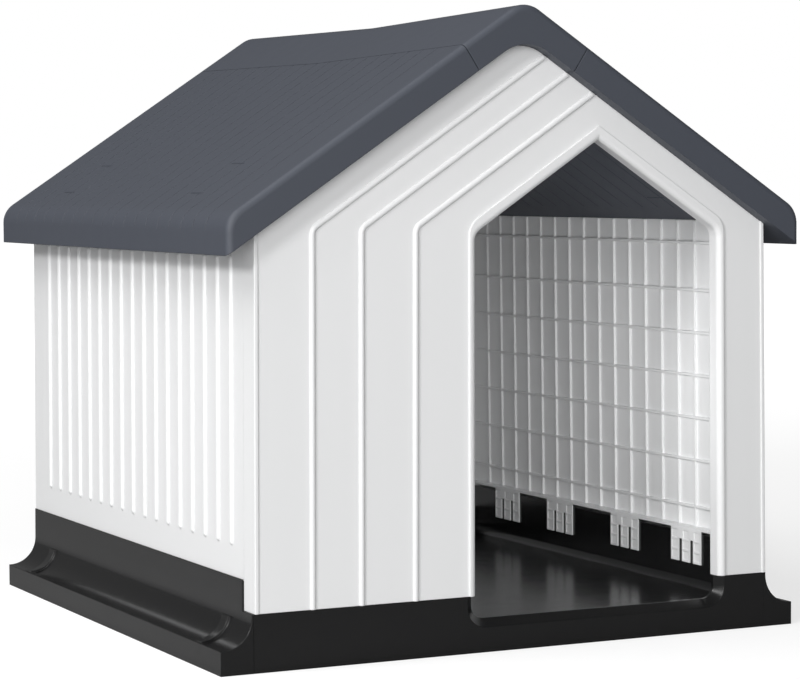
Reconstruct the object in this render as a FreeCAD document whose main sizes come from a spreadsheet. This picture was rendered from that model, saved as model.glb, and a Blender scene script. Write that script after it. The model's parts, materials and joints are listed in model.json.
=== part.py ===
import FreeCAD, Part
import math
import os
from types import SimpleNamespace

import Sketcher
from FreeCAD import Placement, Rotation, Vector

# A moulded-plastic dog house, in millimetres. The origin is on the ground under its centre,
# +Z is up and the doorway faces -Y. Every joint between panels is a named clearance.

SIZES = [
    # white walls
    ("wall_half_width", 316.3, "centre to a side wall's outer face, at the foot"),
    ("wall_lean", 3.0, "how far a side wall leans in by its top"),
    ("wall_half_depth", 363.6, "centre to a gable wall's outer face"),
    ("wall_skin", 2.5, "thickness of the white mouldings"),
    ("flange_depth", 29.0, "how far a gable wall wraps round the corner"),
    ("tongue_skin", 2.0, "side wall's tongue behind the gable wall's flange"),
    ("fit", 0.2, "gap between panels that meet"),
    # floor tray
    ("apron_half_depth", 361.1, "centre to the front of the apron"),
    ("apron_top", 63.0, "height where a gable wall stands on its apron"),
    ("apron_thickness", 12.0, "thickness of the aprons"),
    ("upstand_top", 94.0, "height where a side wall stands on its upstand"),
    ("upstand_thickness", 16.0, "thickness of the side upstands"),
    ("floor_top", 30.0, "height of the floor"),
    ("floor_thickness", 4.0, "thickness of the floor"),
    ("cove_radius", 12.0, "rounding where the floor meets its border"),
    ("sill_top", 36.5, "height of the doorway's sill"),
    ("sill_bevel", 9.0, "bevel round the doorway's sill"),
    ("sill_corner", 14.0, "corner radius of the sill's notch"),
    ("tray_wall", 3.0, "walls and ribs under the floor"),
    ("channel_height", 24.0, "height of the hollow under an apron"),
    # flared side trims
    ("lip_half_width", 353.9, "centre to the outer face of a side trim"),
    ("lip_height", 26.0, "height of the trim's upright lip"),
    ("scoop_radius", 33.5, "radius of the hollow flare"),
    ("scoop_width", 35.0, "flare's width, from lip to upright"),
    ("trim_top", 96.0, "height of the trim's upper edge"),
    ("trim_lean", 0.8, "how far the trim's upright leans in"),
    ("trim_skin", 3.0, "thickness of the trim"),
    ("trim_gap", 0.4, "gap between the trim and the tray"),
    ("strap_width", 21.0, "width of a wedge strap"),
    ("strap_rise", 2.4, "height of a strap's steep end"),
    ("strap_foot", 0.6, "height of a strap's low end"),
    ("strap_turn", 78.0, "angle that a strap reaches up the flare"),
    ("strap_front", -303.4, "steep end of the front strap"),
    ("strap_rear", 275.6, "steep end of the rear strap"),
    # side walls
    ("rib_pitch", 37.65, "spacing of flutes outside and upright ribs inside"),
    ("rib_height", 3.0, "height of the ribs inside"),
    ("rib_width", 3.0, "width of the ribs inside"),
    ("flute_radius", 4.5, "radius of a flute"),
    ("flute_sink", 1.8, "how deep a flute's axis lies in the wall"),
    ("flute_bottom", 128.0, "lower end of the flutes"),
    ("flute_top", 437.0, "upper end of the flutes"),
    ("row_first", 124.0, "height of the lowest level rib"),
    ("row_pitch", 50.5, "spacing of the level ribs"),
    ("row_extra", 5.4, "how much wider the end rows are spaced"),
    ("ledge_height", 97.5, "height of the ledge's underside"),
    ("ledge_thickness", 3.0, "thickness of the ledge near the wall's foot"),
    ("tab_thickness", 1.6, "thickness of a snap tab"),
    ("tab_width", 66.6, "width of a three-finger tab"),
    ("tab_foot", 57.8, "height of a tab's lower end"),
    ("tab_slit", 7.2, "gap between two fingers"),
    ("tab_slit_height", 27.0, "how far a slit reaches up"),
    ("tab_rail", 2.4, "width of a finger's rails and cross bars"),
    ("tab_recess", 0.8, "depth of the panels between the rails"),
    ("tab_inner", 82.1, "middle of the row to the middle of an inner tab"),
    ("tab_outer", 225.7, "middle of the row to the middle of an outer tab"),
    ("tab_shift", 4.7, "how far behind the house's middle the row of tabs is"),
    # gable walls
    ("gable_round", 49.0, "radius of the wall's peak"),
    ("edge_bead_width", 4.8, "width of the bead on an upright edge"),
    ("edge_bead_proud", 1.3, "height of the bead on an upright edge"),
    ("bead_radius", 3.4, "radius of the three bent beads"),
    ("bead_sink", 0.9, "how deep a bent bead's axis lies in the wall"),
    ("bead_bend", 464.0, "height where the beads bend"),
    ("bead_bend_radius", 12.0, "radius of that bend"),
    ("bead_outer", 249.8, "centre to the outermost bead's foot"),
    ("bead_middle", 192.8, "centre to the middle bead's foot"),
    ("bead_inner", 129.0, "centre to the innermost bead's foot"),
    ("bead_overrun", 2.0, "how far short of the gable's edge a front bead ends"),
    # doorway
    ("door_centre", 98.5, "house centre to the middle of the doorway"),
    ("door_half_width", 155.0, "half of the clear width, at the foot"),
    ("door_lean", 1.8, "how far each jamb leans in by the shoulder"),
    ("door_apex", 557.0, "height of the clear peak"),
    ("shoulder_round", 15.0, "radius at the shoulders"),
    ("rim_side", 7.6, "width of the rim beside the doorway"),
    ("rim_top", 12.5, "width of the rim above the doorway"),
    ("rim_proud", 2.2, "how far the rim stands out"),
    ("rim_round", 6.0, "rounding of the rim into the doorway"),
    ("jamb_depth", 17.0, "depth of the jamb behind the wall's face"),
    # roof
    ("roof_half_width", 350.0, "centre to the eave's outer face"),
    ("roof_half_depth", 381.3, "centre to a fascia's outer face"),
    ("roof_pitch", 33.4, "slope of the roof in degrees"),
    ("eave_height", 438.0, "height of the eave's lower edge"),
    ("fascia_depth", 39.5, "upright depth of the fascia"),
    ("ridge_sag", 6.0, "how far the ridge dips at mid length"),
    ("roof_skin", 3.0, "thickness of both skins of the hollow roof mouldings"),
    ("eave_round", 28.0, "radius of the eave"),
    ("ridge_round", 31.0, "radius of the ridge"),
    ("fascia_round", 7.0, "rounding of the fascia's upper edge"),
    ("seam_reach", 91.3, "peak to the ridge cap's seam, along the slope"),
    ("seam_gap", 0.8, "width of the ridge cap's seam"),
    ("roof_seat", 0.3, "gap where the roof sits on the walls"),
    ("groove_pitch", 35.6, "spacing of the roof's grooves"),
    ("groove_width", 1.8, "width of a groove"),
    ("groove_depth", 0.9, "depth of a groove"),
    ("groove_end", 464.0, "height where a groove ends on the eave"),
    ("slot_middle", 212.8, "middle of the slots to a pair of slots"),
    ("slot_shift", 10.7, "how far behind the house's middle the slots are"),
    ("slot_length", 38.0, "length of a slot"),
    ("slot_width", 1.8, "width of a slot"),
    ("slot_lower", 311.5, "centre to the lower slot"),
    ("slot_upper", 262.5, "centre to the upper slot"),
    ("slot_under", 268.0, "centre to the slot in the underside"),
]
RIB_STEPS = 8  # ribs and flutes on each side of the middle one
ROWS = 7
GROOVE_STEPS = 9  # grooves on each side of the middle one
FINGERS = 3
WINDOWS = 3
CELLS = 4


class Size:
    """A number with its spreadsheet formula, so that what is drawn with it can be bound to it."""

    def __init__(self, value, formula=None):
        self.value = float(value)
        self.formula = formula or repr(float(value))

    def __add__(self, other):
        other = as_size(other)
        return Size(self.value + other.value, "(%s + %s)" % (self.formula, other.formula))

    def __sub__(self, other):
        other = as_size(other)
        return Size(self.value - other.value, "(%s - %s)" % (self.formula, other.formula))

    def __mul__(self, other):
        other = as_size(other)
        return Size(self.value * other.value, "(%s * %s)" % (self.formula, other.formula))

    def __truediv__(self, other):
        other = as_size(other)
        return Size(self.value / other.value, "(%s / %s)" % (self.formula, other.formula))

    def __neg__(self):
        return Size(0) - self

    def __radd__(self, other):
        return as_size(other) + self

    def __rsub__(self, other):
        return as_size(other) - self

    def __rmul__(self, other):
        return as_size(other) * self


def as_size(number):
    return number if isinstance(number, Size) else Size(number)


def tangent(angle):
    return Size(math.tan(math.radians(angle.value)), "tan(%s)" % angle.formula)


def sine(angle):
    return Size(math.sin(math.radians(angle.value)), "sin(%s)" % angle.formula)


def cosine(angle):
    return Size(math.cos(math.radians(angle.value)), "cos(%s)" % angle.formula)


doc = FreeCAD.newDocument("DogHouse")
sheet = doc.addObject("Spreadsheet::Sheet", "Sizes")
size = SimpleNamespace()
for row, (name, number, note) in enumerate(SIZES, start=1):
    sheet.set("A%d" % row, note)
    sheet.set("B%d" % row, repr(number))
    sheet.setAlias("B%d" % row, name)
    setattr(size, name, Size(number, "Sizes." + name))
doc.recompute()


# ---- sketches and features ----

def bind(thing, path, wanted):
    """Set one property of a feature, and keep it bound to the spreadsheet."""
    thing.setExpression(path, as_size(wanted).formula)


def origin_feature(body, role):
    return next(item for item in body.Origin.OriginFeatures if item.Role == role)


def new_body(label):
    body = doc.addObject("PartDesign::Body", label)
    body.Label = label
    return body


def new_sketch(body, name, plane, offset=0):
    """A sketch on one of the body's own planes, moved along that plane's normal."""
    sketch = body.newObject("Sketcher::SketchObject", name)
    sketch.AttachmentSupport = [(origin_feature(body, plane), "")]
    sketch.MapMode = "FlatFace"
    bind(sketch, "AttachmentOffset.Base.z", offset)
    return sketch


def across(body, name, y=0):
    """A sketch that faces the front: it is drawn in X and Z, at a place along Y."""
    return new_sketch(body, name, "XZ_Plane", -as_size(y))


class Outline:
    """Lines, arcs and their constraints, collected so that a sketch is solved only once."""

    def __init__(self, sketch):
        self.sketch = sketch
        self.first = len(sketch.Geometry)
        self.shapes = []
        self.guides = []
        self.constraints = []
        self.formulas = []

    def add(self, shape, guide=False):
        self.shapes.append(shape)
        self.guides.append(guide)
        return self.first + len(self.shapes) - 1

    def tie(self, kind, *details, formula=None):
        self.constraints.append(Sketcher.Constraint(kind, *details))
        self.formulas.append(formula)

    def pin(self, geometry, point, x, y):
        for kind, wanted in (("DistanceX", as_size(x)), ("DistanceY", as_size(y))):
            self.tie(kind, -1, 1, geometry, point, wanted.value, formula=wanted.formula)

    def finish(self):
        for shape, guide in zip(self.shapes, self.guides):
            self.sketch.addGeometry(shape, guide)
        before = len(self.sketch.Constraints)
        self.sketch.addConstraint(self.constraints)
        for i, formula in enumerate(self.formulas):
            if formula:
                self.sketch.setExpression("Constraints[%d]" % (before + i), formula)


def corner_data(corners):
    """For each corner: where it is, its radius, and the unit vectors into and out of it."""
    places = [Vector(as_size(c[0]).value, as_size(c[1]).value, 0) for c in corners]
    count = len(places)
    data = []
    for i, place in enumerate(places):
        inward = (place - places[i - 1]).normalize()
        outward = (places[(i + 1) % count] - place).normalize()
        radius = as_size(corners[i][2]) if len(corners[i]) > 2 else None
        data.append(SimpleNamespace(place=place, radius=radius, inward=inward, outward=outward))
    return data


def round_corner(corner):
    """The arc of a rounded corner, with its two ends."""
    turn = corner.inward.cross(corner.outward).z
    angle = corner.inward.getAngle(corner.outward)
    reach = corner.radius.value * math.tan(angle / 2)
    start = corner.place - corner.inward * reach
    end = corner.place + corner.outward * reach
    side = Vector(-corner.inward.y, corner.inward.x, 0) * math.copysign(1, turn)
    centre = start + side * corner.radius.value
    first, last = (start, end) if turn > 0 else (end, start)
    from_angle = math.atan2(first.y - centre.y, first.x - centre.x)
    to_angle = math.atan2(last.y - centre.y, last.x - centre.x)
    circle = Part.Circle(centre, Vector(0, 0, 1), corner.radius.value)
    return Part.ArcOfCircle(circle, from_angle, to_angle), start, end, turn > 0


def draw(sketch, corners, closed=True):
    """Draw an outline: each corner is (x, y), or (x, y, radius) where it is rounded."""
    data = corner_data(corners)
    count = len(data)
    starts, ends, arcs = {}, {}, {}
    for i, corner in enumerate(data):
        starts[i], ends[i] = corner.place, corner.place
        if corner.radius is not None:
            arc, ends[i], starts[i], leftward = round_corner(corner)
            arcs[i] = (arc, leftward)
    spans = count if closed else count - 1
    outline = Outline(sketch)
    lines = [outline.add(Part.LineSegment(starts[i], ends[(i + 1) % count])) for i in range(spans)]
    for i, corner in enumerate(data):
        x, y = corners[i][0], corners[i][1]
        if not closed and i == 0:
            outline.pin(lines[0], 1, x, y)
            continue
        if not closed and i == count - 1:
            outline.pin(lines[-1], 2, x, y)
            continue
        before, after = lines[i - 1], lines[i]
        if i not in arcs:
            outline.tie("Coincident", before, 2, after, 1)
            outline.pin(after, 1, x, y)
            continue
        shape, leftward = arcs[i]
        arc = outline.add(shape)
        first, last = (1, 2) if leftward else (2, 1)
        outline.tie("Tangent", before, 2, arc, first)
        outline.tie("Tangent", arc, last, after, 1)
        outline.tie("Radius", arc, corner.radius.value, formula=corner.radius.formula)
        apex = outline.add(Part.Point(corner.place), guide=True)
        outline.tie("PointOnObject", apex, 1, before)
        outline.tie("PointOnObject", apex, 1, after)
        outline.pin(apex, 1, x, y)
    outline.finish()


def draw_box(sketch, low_x, low_y, high_x, high_y):
    draw(sketch, [(low_x, low_y), (high_x, low_y), (high_x, high_y), (low_x, high_y)])


def draw_axis(sketch, start, end):
    """A construction line, for a feature to turn about."""
    points = [Vector(as_size(p[0]).value, as_size(p[1]).value, 0) for p in (start, end)]
    outline = Outline(sketch)
    line = outline.add(Part.LineSegment(points[0], points[1]), guide=True)
    outline.pin(line, 1, *start)
    outline.pin(line, 2, *end)
    outline.finish()


def extrude(kind, body, name, sketch, length, symmetric=False, backward=False):
    feature = body.newObject("PartDesign::" + kind, name)
    feature.Profile = sketch
    feature.SideType = "Symmetric" if symmetric else "One side"
    feature.Reversed = backward
    bind(feature, "Length", length)
    return feature


def pad(body, name, sketch, length, symmetric=False, backward=False):
    return extrude("Pad", body, name, sketch, length, symmetric, backward)


def pocket(body, name, sketch, length, symmetric=False, backward=False):
    return extrude("Pocket", body, name, sketch, length, symmetric, backward)


def loft(kind, body, name, sketches):
    feature = body.newObject("PartDesign::" + kind, name)
    feature.Profile = sketches[0]
    feature.Sections = sketches[1:]
    feature.Ruled = True
    return feature


def repeat(body, name, feature, axis, length, count):
    """Repeat a feature along one of the body's own axes, and make the row the body's tip."""
    row = body.newObject("PartDesign::LinearPattern", name)
    row.Originals = [feature]
    row.Direction = (origin_feature(body, axis), [""])
    row.Occurrences = count
    bind(row, "Length", length)
    body.Tip = row
    return row


def dress(kind, body, name, wanted, chosen):
    """Fillet or chamfer the edges of the body's tip that the chooser picks."""
    doc.recompute()
    base = body.Tip
    edges = ["Edge%d" % (i + 1) for i, edge in enumerate(base.Shape.Edges) if chosen(edge)]
    if not edges:
        raise RuntimeError("no edge for %s" % name)
    feature = body.newObject("PartDesign::" + kind, name)
    feature.Base = (base, edges)
    bind(feature, "Radius" if kind == "Fillet" else "Size", wanted)
    return feature


def near(first, second, slack=0.02):
    return abs(first - as_size(second).value) < slack


def turned_half_way(body):
    """The same moulding used on the other side of the house."""
    body.Placement = Placement(Vector(0, 0, 0), Rotation(Vector(0, 0, 1), 180))


def front_of(turned):
    """Which way along Y a moulding is drawn with its front end, before it is turned."""
    return 1 if turned else -1


# ---- shared lines of the house ----

slope = tangent(size.roof_pitch)
level = cosine(size.roof_pitch)
flange_end = size.wall_half_depth - size.flange_depth
tab_face = size.wall_half_width - size.upstand_thickness - size.fit - size.tab_thickness


def wall_plane(x):
    """Height of the plane in which the walls end and the roof begins."""
    return size.eave_height + slope * (size.roof_half_width - x)


wall_corner = wall_plane(size.wall_half_width - size.wall_lean)


def wall_face(z):
    """Distance from the centre to a side wall's outer face, which leans in."""
    return size.wall_half_width - size.wall_lean * (z - size.apron_top) / (wall_corner - size.apron_top)


# ---- floor tray ----

def make_floor_tray():
    body = new_body("floor_tray")
    width = size.wall_half_width
    depth = size.apron_half_depth
    room_x = width - size.upstand_thickness
    room_y = depth - size.apron_thickness

    block = new_sketch(body, "tray_block", "XY_Plane")
    draw_box(block, -width, -depth, width, depth)
    pad(body, "tray_pad", block, size.upstand_top)

    relief = new_sketch(body, "tray_gable_relief", "YZ_Plane")
    relief_y = flange_end - size.fit
    over = size.upstand_top + size.tray_wall
    draw_box(relief, relief_y, size.apron_top, depth + size.tray_wall, over)
    draw_box(relief, -depth - size.tray_wall, size.apron_top, -relief_y, over)
    pocket(body, "tray_gable_relief_cut", relief, width * 3, symmetric=True)

    room = new_sketch(body, "tray_room", "XY_Plane", size.upstand_top)
    draw_box(room, -room_x, -room_y, room_x, room_y)
    pocket(body, "tray_room_cut", room, size.upstand_top - size.floor_top)

    def is_room_border(edge):
        box = edge.BoundBox
        inside = max(abs(box.XMin), abs(box.XMax)) < room_x.value + 0.1
        inside = inside and max(abs(box.YMin), abs(box.YMax)) < room_y.value + 0.1
        on_floor = near(box.ZMax, size.floor_top) and near(box.ZMin, size.floor_top)
        upright = near(box.ZMin, size.floor_top) and box.ZMax > box.ZMin + 1
        return inside and (on_floor or upright)

    dress("Fillet", body, "tray_cove", size.cove_radius, is_room_border)

    left = size.door_centre - size.door_half_width
    right = size.door_centre + size.door_half_width
    notch = across(body, "tray_notch", -depth)
    above = size.apron_top + size.tray_wall
    draw(notch, [(left, size.sill_top, size.sill_corner), (right, size.sill_top, size.sill_corner),
                 (right, above), (left, above)])
    pocket(body, "tray_notch_cut", notch, size.apron_thickness + size.cove_radius)

    def is_notch_front(edge):
        box = edge.BoundBox
        on_face = near(box.YMin, -depth) and near(box.YMax, -depth)
        between = box.XMin > left.value - 0.1 and box.XMax < right.value + 0.1
        return on_face and between and box.ZMin > size.sill_top.value - 0.1

    dress("Chamfer", body, "tray_sill_bevel", size.sill_bevel, is_notch_front)

    cell_x = (room_x * 2 - size.tray_wall * (CELLS - 1)) / CELLS
    cell_y = (room_y * 2 - size.tray_wall * (CELLS - 1)) / CELLS
    cell = new_sketch(body, "tray_cell", "XY_Plane")
    draw_box(cell, -room_x, -room_y, cell_x - room_x, cell_y - room_y)
    hollow = size.floor_top - size.floor_thickness
    cut = pocket(body, "tray_cell_cut", cell, hollow, backward=True)
    grid = repeat(body, "tray_cells", cut, "X_Axis", room_x * 2 - cell_x, CELLS)
    grid.Direction2 = (origin_feature(body, "Y_Axis"), [""])
    grid.Occurrences2 = CELLS
    bind(grid, "Length2", room_y * 2 - cell_y)

    wall = size.tray_wall
    side = new_sketch(body, "tray_side_channels", "XY_Plane")
    channel_y = flange_end - size.fit - wall
    draw_box(side, room_x + wall, -channel_y, width - wall, channel_y)
    draw_box(side, wall - width, -channel_y, -room_x - wall, channel_y)
    pocket(body, "tray_side_channel_cut", side, size.upstand_top - wall, backward=True)

    ends = new_sketch(body, "tray_apron_channels", "XY_Plane")
    channel_x = room_x - wall
    draw_box(ends, -channel_x, room_y + wall, channel_x, depth - wall)
    draw_box(ends, -channel_x, wall - depth, channel_x, -room_y - wall)
    pocket(body, "tray_apron_channel_cut", ends, size.channel_height, backward=True)
    return body


# ---- flared side trims ----

def make_skirt(label, turned):
    body = new_body(label)
    front = front_of(turned)
    inner = size.wall_half_width + size.trim_gap
    upright = size.lip_half_width - size.scoop_width
    skin = size.trim_skin
    depth = size.apron_half_depth
    upper = upright - size.trim_lean

    outline = across(body, label + "_outline")
    draw(outline, [(inner, 0), (size.lip_half_width, 0), (size.lip_half_width, size.lip_height),
                   (upright, size.lip_height, size.scoop_radius), (upper, size.trim_top),
                   (inner, size.trim_top)])
    pad(body, label + "_pad", outline, depth * 2, symmetric=True)

    relief = new_sketch(body, label + "_gable_relief", "YZ_Plane")
    draw_box(relief, (flange_end - size.fit) * front, size.apron_top - size.fit,
             (depth + skin) * front, size.trim_top + skin)
    pocket(body, label + "_gable_relief_cut", relief, size.lip_half_width * 3, symmetric=True)

    hollow = across(body, label + "_hollow")
    hollow_radius = size.scoop_radius + 1
    draw(hollow, [(upright - skin * 3, -skin), (size.lip_half_width - skin, -skin),
                  (size.lip_half_width - skin, size.lip_height - skin),
                  (upright - skin, size.lip_height - skin, hollow_radius),
                  (upright - skin, size.lip_height + size.scoop_radius + skin),
                  (upright - skin * 3, size.lip_height + size.scoop_radius + skin)])
    pocket(body, label + "_hollow_cut", hollow, (depth - skin) * 2, symmetric=True)

    axis_x = upright + size.scoop_radius
    axis_z = size.lip_height + size.scoop_radius
    for steep_end, place in ((size.strap_front, "front"), (size.strap_rear, "rear")):
        low_end = steep_end + size.strap_width
        name = "%s_%s_strap" % (label, place)
        strap = new_sketch(body, name, "YZ_Plane", axis_x)
        draw(strap, [(-steep_end * front, size.lip_height - 1), (-low_end * front, size.lip_height - 1),
                     (-low_end * front, size.lip_height + size.strap_foot),
                     (-steep_end * front, size.lip_height + size.strap_rise)])
        draw_axis(strap, (-steep_end * front, axis_z), (-low_end * front, axis_z))
        sweep = body.newObject("PartDesign::Revolution", name + "_turn")
        sweep.Profile = strap
        sweep.ReferenceAxis = (strap, ["Axis0"])
        bind(sweep, "Angle", size.strap_turn)
        sweep.Reversed = turned
    if turned:
        turned_half_way(body)
    return body


# ---- side walls ----

def leaning_strip(near_depth, far_depth, low, high_trim, level_top=False):
    """Corners of a strip parallel to the leaning wall, between two depths behind its face."""
    top_near = size.wall_half_width - size.wall_lean - near_depth
    top_far = size.wall_half_width - size.wall_lean - far_depth
    near_height = wall_plane(top_near) - high_trim
    far_height = near_height if level_top else wall_plane(top_far) - high_trim
    return [(wall_face(low) - far_depth, low), (wall_face(low) - near_depth, low),
            (top_near, near_height), (top_far, far_height)]


def comb_corners(centre, foot, top):
    """Outline of a tab: a plate whose lower edge is slit into fingers."""
    finger = (size.tab_width - size.tab_slit * (FINGERS - 1)) / FINGERS
    left = centre - size.tab_width / 2
    corners = [(left, top), (left, foot)]
    for i in range(FINGERS - 1):
        right = left + finger
        slit_top = foot + size.tab_slit_height
        corners += [(right, foot), (right, slit_top), (right + size.tab_slit, slit_top),
                    (right + size.tab_slit, foot)]
        left = right + size.tab_slit
    return corners + [(left + finger, foot), (left + finger, top)]


def make_side_wall(label, turned):
    body = new_body(label)
    foot = size.upstand_top + size.fit
    ledge_top = size.ledge_height + size.ledge_thickness
    back = size.wall_skin + size.tongue_skin
    rib_back = back + size.rib_height
    seat = size.roof_seat

    slab = across(body, label + "_slab")
    draw(slab, leaning_strip(Size(0), back, foot, seat))
    pad(body, label + "_slab_pad", slab, (flange_end - size.fit) * 2, symmetric=True)

    tongue = across(body, label + "_tongue")
    below_gable = seat + (size.wall_skin + size.fit) / level
    draw(tongue, leaning_strip(size.wall_skin + size.fit, back, foot, below_gable))
    tongue_y = size.wall_half_depth - size.wall_skin - size.fit * 2
    pad(body, label + "_tongue_pad", tongue, tongue_y * 2, symmetric=True)

    ledge = across(body, label + "_ledge")
    draw_box(ledge, tab_face, size.ledge_height, wall_face(foot) - back + 1, ledge_top)
    pad(body, label + "_ledge_pad", ledge, (flange_end - size.fit) * 2, symmetric=True)

    rib = across(body, label + "_rib", size.rib_pitch * -RIB_STEPS)
    draw(rib, leaning_strip(back - 1, rib_back, size.ledge_height + 1, seat, level_top=True))
    first = pad(body, label + "_rib_pad", rib, size.rib_width, symmetric=True)
    repeat(body, label + "_ribs", first, "Y_Axis", size.rib_pitch * (RIB_STEPS * 2), RIB_STEPS * 2 + 1)

    rows = across(body, label + "_rows")
    for i in range(ROWS):
        z = size.row_first + size.row_pitch * i
        if i > 0:
            z = z + size.row_extra
        if i == ROWS - 1:
            z = z + size.row_extra
        half = size.rib_width / 2
        draw(rows, [(wall_face(z) - rib_back, z - half), (wall_face(z) - back + 1, z - half),
                    (wall_face(z) - back + 1, z + half), (wall_face(z) - rib_back, z + half)])
    pad(body, label + "_rows_pad", rows, tongue_y * 2, symmetric=True)

    finger = (size.tab_width - size.tab_slit * (FINGERS - 1)) / FINGERS
    tab_drop = size.ledge_height - size.tab_foot
    window_height = (tab_drop - size.tab_rail * (WINDOWS + 1)) / WINDOWS
    row_middle = size.tab_shift * -front_of(turned)
    first_tab = row_middle - size.tab_outer
    tab = new_sketch(body, label + "_tab", "YZ_Plane", tab_face)
    draw(tab, comb_corners(first_tab, size.tab_foot, size.ledge_height + 1))
    tab_pad = pad(body, label + "_tab_pad", tab, size.tab_thickness)
    windows = new_sketch(body, label + "_tab_windows", "YZ_Plane", tab_face)
    for i in range(FINGERS):
        left = (finger + size.tab_slit) * i + size.tab_rail + first_tab - size.tab_width / 2
        right = left + finger - size.tab_rail * 2
        for j in range(WINDOWS):
            low = size.tab_foot + size.tab_rail + (window_height + size.tab_rail) * j
            draw_box(windows, left, low, right, low + window_height)
    cut = pocket(body, label + "_tab_windows_cut", windows, size.tab_recess, backward=True)
    tabs = repeat(body, label + "_tabs", tab_pad, "Y_Axis", size.tab_outer - size.tab_inner, 2)
    tabs.Originals = [tab_pad, cut]
    tabs.Direction2 = (origin_feature(body, "Y_Axis"), [""])
    tabs.Occurrences2 = 2
    bind(tabs, "Length2", size.tab_outer + size.tab_inner)

    flute = across(body, label + "_flute", size.rib_pitch * -RIB_STEPS)
    low, high = size.flute_bottom, size.flute_top
    axis_low = wall_face(low) - size.flute_sink
    axis_high = wall_face(high) - size.flute_sink
    end_round = size.flute_radius * 0.96
    draw(flute, [(axis_low, low), (axis_low + size.flute_radius, low, end_round),
                 (axis_high + size.flute_radius, high, end_round), (axis_high, high)])
    draw_axis(flute, (axis_low, low), (axis_high, high))
    turn = body.newObject("PartDesign::Revolution", label + "_flute_turn")
    turn.Profile = flute
    turn.ReferenceAxis = (flute, ["Axis0"])
    turn.Angle = 180
    turn.Midplane = True
    repeat(body, label + "_flutes", turn, "Y_Axis", size.rib_pitch * (RIB_STEPS * 2), RIB_STEPS * 2 + 1)
    if turned:
        turned_half_way(body)
    return body


# ---- gable walls ----

def gable_corners(side_inset, slope_inset, foot, peak_round):
    """Outline of a gable wall, drawn in from its sides and slopes by two insets."""
    foot_x = size.wall_half_width - side_inset
    top_x = size.wall_half_width - size.wall_lean - side_inset
    drop = size.roof_seat + slope_inset / level
    return [(-foot_x, foot), (foot_x, foot), (top_x, wall_plane(top_x) - drop),
            (0, wall_plane(Size(0)) - drop, peak_round), (-top_x, wall_plane(top_x) - drop)]


def make_gable_pan(label):
    """The shallow pan that both gable walls are, at the front of the house."""
    body = new_body(label)
    skin = size.wall_skin
    outline = across(body, label + "_outline", -size.wall_half_depth)
    draw(outline, gable_corners(Size(0), Size(0), size.apron_top, size.gable_round))
    pad(body, label + "_pad", outline, size.flange_depth, backward=True)

    hollow = across(body, label + "_hollow", -flange_end)
    draw(hollow, gable_corners(skin, skin, size.apron_top + skin, size.gable_round - skin))
    pocket(body, label + "_hollow_cut", hollow, size.flange_depth - skin, backward=True)

    open_foot = across(body, label + "_open_foot", -flange_end)
    foot_x = size.wall_half_width - skin
    draw_box(open_foot, -foot_x, size.apron_top - skin, foot_x, size.apron_top + skin * 2)
    foot_ledge = size.apron_thickness + size.wall_half_depth - size.apron_half_depth
    pocket(body, label + "_open_foot_cut", open_foot, size.flange_depth - foot_ledge, backward=True)

    edges = across(body, label + "_edge_beads", -size.wall_half_depth)
    top_x = size.wall_half_width - size.wall_lean
    top_z = wall_plane(top_x) - size.roof_seat
    for side in (-1, 1):
        outer_foot, outer_top = size.wall_half_width * side, top_x * side
        inset = size.edge_bead_width * side
        inner_z = wall_plane(top_x - size.edge_bead_width) - size.roof_seat
        draw(edges, [(outer_foot, size.apron_top), (outer_top, top_z),
                     (outer_top - inset, inner_z), (outer_foot - inset, size.apron_top)])
    pad(body, label + "_edge_beads_pad", edges, size.edge_bead_proud)

    def is_corner(edge):
        box = edge.BoundBox
        at_front = near(box.YMin, -size.wall_half_depth - size.edge_bead_proud, 0.1)
        at_front = at_front and near(box.YMax, -size.wall_half_depth - size.edge_bead_proud, 0.1)
        tall = box.ZMax - box.ZMin > 50
        return at_front and tall and box.XMax - box.XMin < size.wall_lean.value + 0.5

    corner_round = size.edge_bead_proud * 0.9
    dress("Fillet", body, label + "_edge_round", corner_round, is_corner)
    return body


def add_bead(body, name, corners):
    """A half-round bead along a bent path on the wall's face."""
    path = across(body, name + "_path", -size.wall_half_depth)
    draw(path, corners, closed=False)
    section = new_sketch(body, name + "_section", "XY_Plane", corners[0][1])
    centre_x = as_size(corners[0][0])
    centre_y = -size.wall_half_depth + size.bead_sink
    reach = size.bead_radius
    draw(section, [(centre_x - reach, centre_y), (centre_x + reach, centre_y),
                   (centre_x + reach, centre_y - reach, reach * 0.96),
                   (centre_x - reach, centre_y - reach, reach * 0.96)][::-1])
    sweep = body.newObject("PartDesign::AdditivePipe", name)
    sweep.Profile = section
    sweep.Spine = path
    return sweep


def bead_places():
    return [(size.bead_outer, "outer"), (size.bead_middle, "middle"), (size.bead_inner, "inner")]


def bead_top(x):
    """Where a bead has leaned to when it bends."""
    return x - size.wall_lean


def door_corners(side_grow, top_grow, foot):
    """Outline of the doorway, grown outwards for its rim."""
    foot_x = size.door_half_width + side_grow
    top_x = foot_x - size.door_lean
    apex = size.door_apex + top_grow / level
    shoulder = apex - slope * top_x
    centre = size.door_centre
    return [(centre - foot_x, foot), (centre + foot_x, foot),
            (centre + top_x, shoulder, size.shoulder_round + side_grow), (centre, apex),
            (centre - top_x, shoulder, size.shoulder_round + side_grow)]


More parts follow.
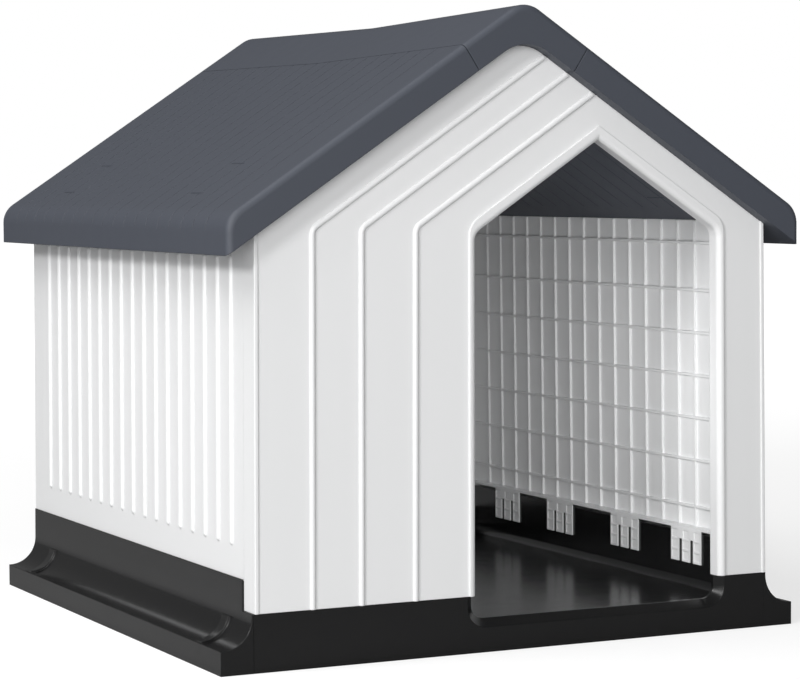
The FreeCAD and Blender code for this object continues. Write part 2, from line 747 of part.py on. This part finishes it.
def make_front_wall():
    body = make_gable_pan("front_wall")
    for x, name in bead_places():
        bend_x = -bead_top(x)
        # The bead climbs beside the roof until it meets the opposite slope.
        meet_x = (wall_plane(Size(0)) - size.bead_bend + slope * bend_x) / (slope * 2)
        end_x = meet_x - size.bead_overrun
        end_z = size.bead_bend + slope * (end_x - bend_x)
        add_bead(body, "front_bead_" + name,
                 [(-x, size.apron_top), (bend_x, size.bead_bend, size.bead_bend_radius), (end_x, end_z)])

    rim = across(body, "front_rim", -size.wall_half_depth + size.jamb_depth)
    draw(rim, door_corners(size.rim_side, size.rim_top, size.apron_top))
    pad(body, "front_rim_pad", rim, size.jamb_depth + size.rim_proud)
    door = across(body, "front_door", -size.wall_half_depth)
    draw(door, door_corners(Size(0), Size(0), size.apron_top - size.wall_skin * 2))
    pocket(body, "front_door_cut", door, size.flange_depth * 2, symmetric=True)

    face = size.wall_half_depth + size.rim_proud

    def is_rim_inner(edge):
        box = edge.BoundBox
        on_face = near(box.YMin, -face) and near(box.YMax, -face)
        half = size.door_half_width.value + 0.1
        inside = box.XMin > size.door_centre.value - half and box.XMax < size.door_centre.value + half
        return on_face and inside and box.ZMax < size.door_apex.value + 0.1

    dress("Fillet", body, "front_rim_round", size.rim_round, is_rim_inner)
    return body


def make_rear_wall():
    body = make_gable_pan("rear_wall")
    for x, name in bead_places():
        bend = bead_top(x)
        peak = size.bead_bend + slope * bend
        add_bead(body, "rear_bead_" + name,
                 [(-x, size.apron_top), (-bend, size.bead_bend, size.bead_bend_radius),
                  (0, peak, size.gable_round), (bend, size.bead_bend, size.bead_bend_radius),
                  (x, size.apron_top)])
    turned_half_way(body)
    return body


# ---- roof ----

def peak_height(y):
    """Height of the roof's sharp peak: it dips evenly towards mid length."""
    end_peak = wall_plane(Size(0)) + size.fascia_depth
    from_end = 1 - abs(as_size(y).value) / size.roof_half_depth.value
    if near(from_end, 0):
        return end_peak
    if near(from_end, 1):
        return end_peak - size.ridge_sag
    return end_peak - size.ridge_sag * (1 - as_size(abs_size(y)) / size.roof_half_depth)


def abs_size(y):
    return y if y.value >= 0 else -y


def slope_point(y, x, depth):
    """A point at some depth below the roof's outer slope, as a height over its distance x."""
    corner = size.eave_height + size.fascia_depth
    steep = (peak_height(y) - corner) / size.roof_half_width
    return (x, peak_height(y) - steep * x - depth / level)


def seam_x(extra, depth):
    """Distance of the seam plane, which is square to the slope, from the centre."""
    return (size.seam_reach + extra) * level - depth * sine(size.roof_pitch)


def stations(margin):
    end = size.roof_half_depth - margin
    return [end, Size(0), -end]


def roof_sections(body, name, margin, outline):
    sketches = []
    for i, y in enumerate(stations(margin)):
        sketch = across(body, "%s_%d" % (name, i + 1), y)
        draw(sketch, outline(y))
        sketches.append(sketch)
    return sketches


def make_roof_panel(label, turned):
    body = new_body(label)
    skin = size.roof_skin
    half_gap = size.seam_gap / 2
    eave_x = size.roof_half_width
    thick = size.fascia_depth * level
    lip = skin / level

    def outer(y):
        seam_top = slope_point(y, seam_x(half_gap, Size(0)), Size(0))
        seam_foot_x = seam_x(half_gap, thick)
        return [(seam_foot_x, wall_plane(seam_foot_x)), (eave_x, size.eave_height),
                slope_point(y, eave_x, Size(0)) + (size.eave_round,), seam_top]

    def inner(y):
        foot_x = seam_x(half_gap + skin, thick - skin)
        top_x = seam_x(half_gap + skin, skin)
        inside = eave_x - skin
        return [(foot_x, wall_plane(foot_x) + lip), (inside, wall_plane(inside) + lip),
                slope_point(y, inside, skin) + (size.eave_round - skin,), slope_point(y, top_x, skin)]

    loft("AdditiveLoft", body, label + "_slab", roof_sections(body, label + "_outer", Size(0), outer))

    def is_eave_end(edge):
        box = edge.BoundBox
        at_end = near(abs(box.YMin), size.roof_half_depth) and near(abs(box.YMax), size.roof_half_depth)
        lower_edge = near(box.ZMin, size.eave_height) and box.XMax - box.XMin > 5
        at_seam = box.XMax < seam_x(half_gap, Size(0)).value + 0.1
        return at_end and not lower_edge and not at_seam

    dress("Fillet", body, label + "_fascia_round", size.fascia_round, is_eave_end)
    loft("SubtractiveLoft", body, label + "_hollow", roof_sections(body, label + "_inner", skin, inner))
    add_grooves(body, label)
    add_slots(body, label, turned)
    if turned:
        turned_half_way(body)
    return body


def add_grooves(body, label):
    """Fine grooves that run down the slope and over the eave, and others in the underside."""
    over = size.groove_depth
    outside = size.roof_half_width + over
    inside = size.roof_half_width - size.groove_depth
    thick = size.fascia_depth * level
    under_start = seam_x(size.seam_gap / 2, thick) - 1
    under_end = size.wall_half_width - size.flange_depth
    for i in range(-GROOVE_STEPS, GROOVE_STEPS + 1):
        y = size.groove_pitch * i
        start = seam_x(size.seam_gap / 2, Size(0)) - 1
        groove = across(body, "%s_groove_%d" % (label, i + GROOVE_STEPS + 1), y)
        draw(groove, [slope_point(y, start, size.groove_depth),
                      slope_point(y, inside, size.groove_depth) + (size.eave_round - size.groove_depth,),
                      (inside, size.groove_end), (outside, size.groove_end),
                      slope_point(y, outside, -over) + (size.eave_round + over,),
                      slope_point(y, start, -over)])
        draw(groove, [(under_start, wall_plane(under_start) - over), (under_end, wall_plane(under_end) - over),
                      (under_end, wall_plane(under_end) + size.groove_depth),
                      (under_start, wall_plane(under_start) + size.groove_depth)])
        pocket(body, "%s_groove_cut_%d" % (label, i + GROOVE_STEPS + 1), groove, size.groove_width,
               symmetric=True)


def add_slots(body, label, turned):
    """Two pairs of narrow slots in the upper skin, and one slot under each pair."""
    middle = Size(0)
    skin = size.roof_skin
    for side, name in ((-1, "front"), (1, "rear")):
        y = size.slot_middle * side - size.slot_shift * front_of(turned)
        slots = across(body, "%s_%s_slots" % (label, name), y)
        for x in (size.slot_lower, size.slot_upper):
            wide = x + size.slot_width
            draw(slots, [slope_point(middle, x, skin * 1.5), slope_point(middle, wide, skin * 1.5),
                         slope_point(middle, wide, -skin * 3), slope_point(middle, x, -skin * 3)])
        wide = size.slot_under + size.slot_width
        draw_box(slots, size.slot_under, wall_plane(wide) - skin, wide, wall_plane(size.slot_under) + skin * 2)
        pocket(body, "%s_%s_slots_cut" % (label, name), slots, size.slot_length, symmetric=True)


def make_ridge_cap():
    label = "ridge_cap"
    body = new_body(label)
    skin = size.roof_skin
    half_gap = size.seam_gap / 2
    thick = size.fascia_depth * level
    lip = skin / level

    def outer(y):
        top_x = seam_x(-half_gap, Size(0))
        foot_x = seam_x(-half_gap, thick)
        top = slope_point(y, top_x, Size(0))
        return [(foot_x, wall_plane(foot_x)), top, (Size(0), peak_height(y), size.ridge_round),
                (-top_x, top[1]), (-foot_x, wall_plane(foot_x)),
                (Size(0), wall_plane(Size(0)), size.gable_round)]

    def inner(y):
        top_x = seam_x(-half_gap - skin, skin)
        foot_x = seam_x(-half_gap - skin, thick - skin)
        top = slope_point(y, top_x, skin)
        foot = wall_plane(foot_x) + lip
        return [(foot_x, foot), top, (Size(0), peak_height(y) - lip, size.ridge_round - skin),
                (-top_x, top[1]), (-foot_x, foot),
                (Size(0), wall_plane(Size(0)) + lip, size.gable_round + skin)]

    loft("AdditiveLoft", body, label + "_slab", roof_sections(body, label + "_outer", Size(0), outer))

    def is_upper_end(edge):
        box = edge.BoundBox
        at_end = near(abs(box.YMin), size.roof_half_depth) and near(abs(box.YMax), size.roof_half_depth)
        seam_top = slope_point(size.roof_half_depth, seam_x(-half_gap, Size(0)), Size(0))[1]
        return at_end and box.ZMin > seam_top.value - 0.1

    dress("Fillet", body, label + "_fascia_round", size.fascia_round, is_upper_end)
    loft("SubtractiveLoft", body, label + "_hollow", roof_sections(body, label + "_inner", skin, inner))
    return body


def main():
    bodies = [
        make_floor_tray(),
        make_skirt("right_skirt", False),
        make_skirt("left_skirt", True),
        make_front_wall(),
        make_rear_wall(),
        make_side_wall("right_wall", False),
        make_side_wall("left_wall", True),
        make_roof_panel("right_roof_panel", False),
        make_roof_panel("left_roof_panel", True),
        make_ridge_cap(),
    ]
    doc.recompute()
    for item in doc.Objects:
        if "Invalid" in item.State or "Error" in item.State:
            raise RuntimeError("%s failed: %s" % (item.Name, item.State))
    for body in bodies:
        if body.Shape.isNull() or not body.Shape.isValid() or len(body.Shape.Solids) != 1:
            raise RuntimeError("%s is not one valid solid" % body.Label)
    os.makedirs("parts", exist_ok=True)
    for body in bodies:
        body.Shape.exportStep("parts/%s.step" % body.Label)
        box = body.Shape.BoundBox
        print("%-18s volume %9.0f mm3, x %.1f..%.1f, y %.1f..%.1f, z %.1f..%.1f" % (
            body.Label, body.Shape.Volume, box.XMin, box.XMax, box.YMin, box.YMax, box.ZMin, box.ZMax))


main()
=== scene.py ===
import json
import math

import bmesh
import bpy
from mathutils import Matrix, Vector

# A moulded plastic dog house: white walls, a blue-grey roof and a near-black base.

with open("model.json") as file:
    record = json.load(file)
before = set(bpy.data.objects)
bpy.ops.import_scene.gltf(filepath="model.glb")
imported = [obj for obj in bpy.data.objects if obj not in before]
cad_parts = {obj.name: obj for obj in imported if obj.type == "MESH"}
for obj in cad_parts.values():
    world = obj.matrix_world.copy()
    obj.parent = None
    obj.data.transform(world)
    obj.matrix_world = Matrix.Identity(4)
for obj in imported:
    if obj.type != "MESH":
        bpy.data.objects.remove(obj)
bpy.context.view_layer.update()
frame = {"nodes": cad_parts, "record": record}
nodes = frame["nodes"]
print("frame: %d nodes" % len(nodes))


def linearColour(hexText, alpha=1.0):
    channels = [int(hexText[i:i + 2], 16) / 255 for i in (1, 3, 5)]
    return [c / 12.92 if c <= 0.04045 else ((c + 0.055) / 1.055) ** 2.4 for c in channels] + [alpha]


# settings are socket values (by name or number) or node attributes; links are the sockets that feed it
def addNode(tree, kind, settings=None, links=None):
    node = tree.nodes.new(kind)
    for name, value in (settings or {}).items():
        if isinstance(name, int) or name in node.inputs:
            node.inputs[name].default_value = value
        else:
            setattr(node, name, value)
    for name, source in (links or {}).items():
        tree.links.new(source, node.inputs[name])
    return node


def emptyMaterial(name):
    material = bpy.data.materials.new(name)
    material.use_nodes = True
    material.node_tree.nodes.clear()
    return material


# injection-moulded polypropylene, pigmented white: a soft satin sheen over a fine spark-eroded grain
whitePlastic = {
    "colour": "#eeeeef",
    "shade": "#ebecec",  # where the melt flowed last, a little greyer
    "roughness": 0.40,
    "roughnessSpread": 0.05,
    "ior": 1.49,
    "grain": 0.0012,  # 0.3 mm in the real mould, drawn coarser so that it shows
    "grainHeight": 0.00002,
    "waveSize": 0.16,  # slow waviness of a large thin panel
    "waveHeight": 0.0002,
    "edgeRadius": 0.0012,
}
# injection-moulded polypropylene, blue grey: a duller sheen over a coarser grain
roofPlastic = {
    "colour": "#484c55",
    "shade": "#454952",
    "roughness": 0.58,
    "roughnessSpread": 0.05,
    "ior": 1.49,
    "grain": 0.0016,
    "grainHeight": 0.00004,
    "waveSize": 0.16,
    "waveHeight": 0.0003,
    "edgeRadius": 0.0012,
}
# recycled polypropylene, carbon black: glossier, so that it mirrors pale surroundings
basePlastic = {
    "colour": "#141415",
    "shade": "#111111",
    "roughness": 0.20,
    "roughnessSpread": 0.04,
    "ior": 1.47,
    "grain": 0.0014,
    "grainHeight": 0.00002,
    "waveSize": 0.18,
    "waveHeight": 0.00015,
    "edgeRadius": 0.0014,
}


pattern = {  # the same in all three plastics, sizes in metres
    "flowScale": 0.35,  # flow marks repeat this often for each of the panel's waves
    "rubSize": 0.03,
    "bevelSamples": 6,
}


def mouldedPlastic(name, look):
    material = emptyMaterial(name)
    tree = material.node_tree
    place = addNode(tree, "ShaderNodeTexCoord").outputs["Object"]
    flow = addNode(tree, "ShaderNodeTexNoise",
                   {"Scale": pattern["flowScale"] / look["waveSize"], "Detail": 3.0}, {"Vector": place})
    colour = addNode(tree, "ShaderNodeMix", {"data_type": "RGBA", 6: linearColour(look["colour"]),
                                             7: linearColour(look["shade"])}, {0: flow.outputs["Fac"]})
    rub = addNode(tree, "ShaderNodeTexNoise",
                  {"Scale": 1 / pattern["rubSize"], "Detail": 5.0}, {"Vector": place})
    dull = addNode(tree, "ShaderNodeMapRange", {"To Min": look["roughness"] - look["roughnessSpread"],
                                                "To Max": look["roughness"] + look["roughnessSpread"]},
                   {"Value": rub.outputs["Fac"]})
    edge = addNode(tree, "ShaderNodeBevel",
                   {"samples": pattern["bevelSamples"], "Radius": look["edgeRadius"]})
    wave = addNode(tree, "ShaderNodeTexNoise",
                   {"Scale": 1 / look["waveSize"], "Detail": 1.0}, {"Vector": place})
    waved = addNode(tree, "ShaderNodeBump", {"Strength": 1.0, "Distance": look["waveHeight"]},
                    {"Height": wave.outputs["Fac"], "Normal": edge.outputs["Normal"]})
    grain = addNode(tree, "ShaderNodeTexNoise",
                    {"Scale": 1 / look["grain"], "Detail": 2.0}, {"Vector": place})
    grained = addNode(tree, "ShaderNodeBump", {"Strength": 1.0, "Distance": look["grainHeight"]},
                      {"Height": grain.outputs["Fac"], "Normal": waved.outputs["Normal"]})
    shader = addNode(tree, "ShaderNodeBsdfPrincipled", {"IOR": look["ior"]},
                     {"Base Color": colour.outputs[2], "Roughness": dull.outputs["Result"],
                      "Normal": grained.outputs["Normal"]})
    addNode(tree, "ShaderNodeOutputMaterial", {}, {"Surface": shader.outputs["BSDF"]})
    return material


finishes = {
    "white_plastic": mouldedPlastic("white moulded polypropylene", whitePlastic),
    "roof_plastic": mouldedPlastic("blue-grey moulded polypropylene", roofPlastic),
    "base_plastic": mouldedPlastic("black recycled polypropylene", basePlastic),
}
slotOfNode = {part["node"]: part["material_slot"] for part in frame["record"]["subparts"]}
for nodeName, node in nodes.items():
    node.data.materials.clear()
    node.data.materials.append(finishes[slotOfNode[nodeName]])
print("plastics: %d finishes" % len(finishes))


studio = {
    "floorSize": 60.0,
    "floorColour": "#a8a8a8",
    "floorGlow": 0.70,  # what the camera alone sees on top, so that the paper looks white
    "paperStart": 0.8,  # where the glow starts to grow, in metres from the middle of the house
    "paperReach": 5.0,  # where it is plain white
    "worldLight": 0.15,
    "aim": (0.0, 0.0, 0.32),
}
lights = {  # around: degrees from straight ahead of the doorway towards its left; away and size in metres
    "key": {"around": 59.0, "up": 22.0, "away": 6.0, "size": 1.2, "power": 146.0},
    "doorway": {"around": 34.0, "up": 9.0, "away": 6.0, "size": 3.4, "power": 125.0},
    "front": {"around": 12.0, "up": 10.0, "away": 6.0, "size": 3.2, "power": 54.0},
    "top": {"around": 84.0, "up": 56.0, "away": 5.0, "size": 3.4, "power": 134.0},
}


insideLight = {  # a weak fill lamp in the doorway, set by trial to the photo's brightness inside
    "place": (0.03, -0.310, 0.27),
    "towards": (0.45, 1.0, 0.05),
    "size": 0.24,
    "power": 0.5,
}


def addDiscLight(name, place, towards, size, power):
    lamp = bpy.data.lights.new(name, "AREA")
    lamp.shape = "DISK"
    lamp.size = size
    lamp.energy = power
    light = bpy.data.objects.new(name, lamp)
    light.location = place
    light.rotation_euler = Vector(towards).to_track_quat("-Z", "Y").to_euler()
    bpy.context.scene.collection.objects.link(light)
    return light


def addSoftLight(name, view):
    around, up = math.radians(view["around"]), math.radians(view["up"])
    outward = Vector((-math.sin(around) * math.cos(up), -math.cos(around) * math.cos(up), math.sin(up)))
    place = Vector(studio["aim"]) + outward * view["away"]
    addDiscLight(name + "Light", place, -outward, view["size"], view["power"])


def addInsideLight(view):
    light = addDiscLight("insideLight", view["place"], view["towards"], view["size"], view["power"])
    light.visible_camera = False
    light.visible_glossy = False


for lightName, lightView in lights.items():
    addSoftLight(lightName, lightView)
addInsideLight(insideLight)


# white for the camera and through glass, while the lighting keeps its own level
def addPaleWorld():
    world = bpy.data.worlds.new("paleStudio")
    bpy.context.scene.world = world
    world.use_nodes = True
    tree = world.node_tree
    tree.nodes.clear()
    path = addNode(tree, "ShaderNodeLightPath")
    seen = addNode(tree, "ShaderNodeMath", {"operation": "MAXIMUM"},
                   {0: path.outputs["Is Camera Ray"], 1: path.outputs["Is Transmission Ray"]})
    ambient = addNode(tree, "ShaderNodeBackground",
                      {"Color": linearColour("#ffffff"), "Strength": studio["worldLight"]})
    paper = addNode(tree, "ShaderNodeBackground", {"Color": linearColour("#ffffff"), "Strength": 1.0})
    sky = addNode(tree, "ShaderNodeMixShader", {},
                  {0: seen.outputs[0], 1: ambient.outputs[0], 2: paper.outputs[0]})
    addNode(tree, "ShaderNodeOutputWorld", {}, {"Surface": sky.outputs[0]})


def studioPaint():
    material = emptyMaterial("matt studio paper")  # matt paper that still takes the house's shadow
    tree = material.node_tree
    place = addNode(tree, "ShaderNodeTexCoord").outputs["Object"]
    away = addNode(tree, "ShaderNodeVectorMath", {"operation": "LENGTH"}, {0: place})
    white = addNode(tree, "ShaderNodeMapRange",
                    {"From Min": studio["paperStart"], "From Max": studio["paperReach"],
                     "To Min": studio["floorGlow"], "To Max": 1.0}, {"Value": away.outputs["Value"]})
    matt = addNode(tree, "ShaderNodeBsdfDiffuse", {"Color": linearColour(studio["floorColour"])})
    glow = addNode(tree, "ShaderNodeEmission", {"Color": linearColour("#ffffff")},
                   {"Strength": white.outputs[0]})
    path = addNode(tree, "ShaderNodeLightPath")
    lift = addNode(tree, "ShaderNodeMixShader", {}, {0: path.outputs["Is Camera Ray"], 2: glow.outputs[0]})
    both = addNode(tree, "ShaderNodeAddShader", {}, {0: matt.outputs[0], 1: lift.outputs[0]})
    addNode(tree, "ShaderNodeOutputMaterial", {}, {"Surface": both.outputs[0]})
    return material


def addFloor():
    mesh = bmesh.new()
    bmesh.ops.create_grid(mesh, x_segments=1, y_segments=1, size=studio["floorSize"] / 2)
    data = bpy.data.meshes.new("studioFloor")
    mesh.to_mesh(data)
    mesh.free()
    floor = bpy.data.objects.new("studioFloor", data)
    bpy.context.scene.collection.objects.link(floor)
    floor.data.materials.append(studioPaint())


addPaleWorld()
addFloor()
print("studio: floor, world and %d lights" % (len(lights) + 1))


cameraView = {  # solved from the vanishing lines and corners of the photograph
    "place": (-1.387551, -2.936907, 0.517838),
    "yaw": 25.76,  # degrees to the right of straight ahead
    "pitch": 3.462,  # degrees downwards
    "roll": -0.402,
    "focal": 2688.738,  # in pixels of an 800 pixel wide image
    "imageWidth": 800,
    "sensorWidth": 36.0,  # in millimetres
    "clipEnd": 200.0,
}


def aimCamera(view):
    yaw, pitch, roll = (math.radians(view[name]) for name in ("yaw", "pitch", "roll"))
    forward = Vector((math.sin(yaw) * math.cos(pitch), math.cos(yaw) * math.cos(pitch), -math.sin(pitch)))
    level = Vector((math.cos(yaw), -math.sin(yaw), 0))
    upright = level.cross(forward)
    right = level * math.cos(roll) + upright * math.sin(roll)
    up = upright * math.cos(roll) - level * math.sin(roll)
    turn = Matrix((right, up, -forward)).transposed().to_4x4()
    lens = bpy.data.cameras.new("photoCamera")
    lens.sensor_fit = "HORIZONTAL"
    lens.sensor_width = view["sensorWidth"]
    lens.lens = view["focal"] / view["imageWidth"] * view["sensorWidth"]
    lens.clip_end = view["clipEnd"]
    camera = bpy.data.objects.new("photoCamera", lens)
    camera.matrix_world = Matrix.Translation(view["place"]) @ turn
    bpy.context.scene.collection.objects.link(camera)
    return camera


bpy.context.scene.camera = aimCamera(cameraView)
bpy.context.scene.view_settings.view_transform = "Standard"
print("camera: lens %.1f mm" % bpy.context.scene.camera.data.lens)
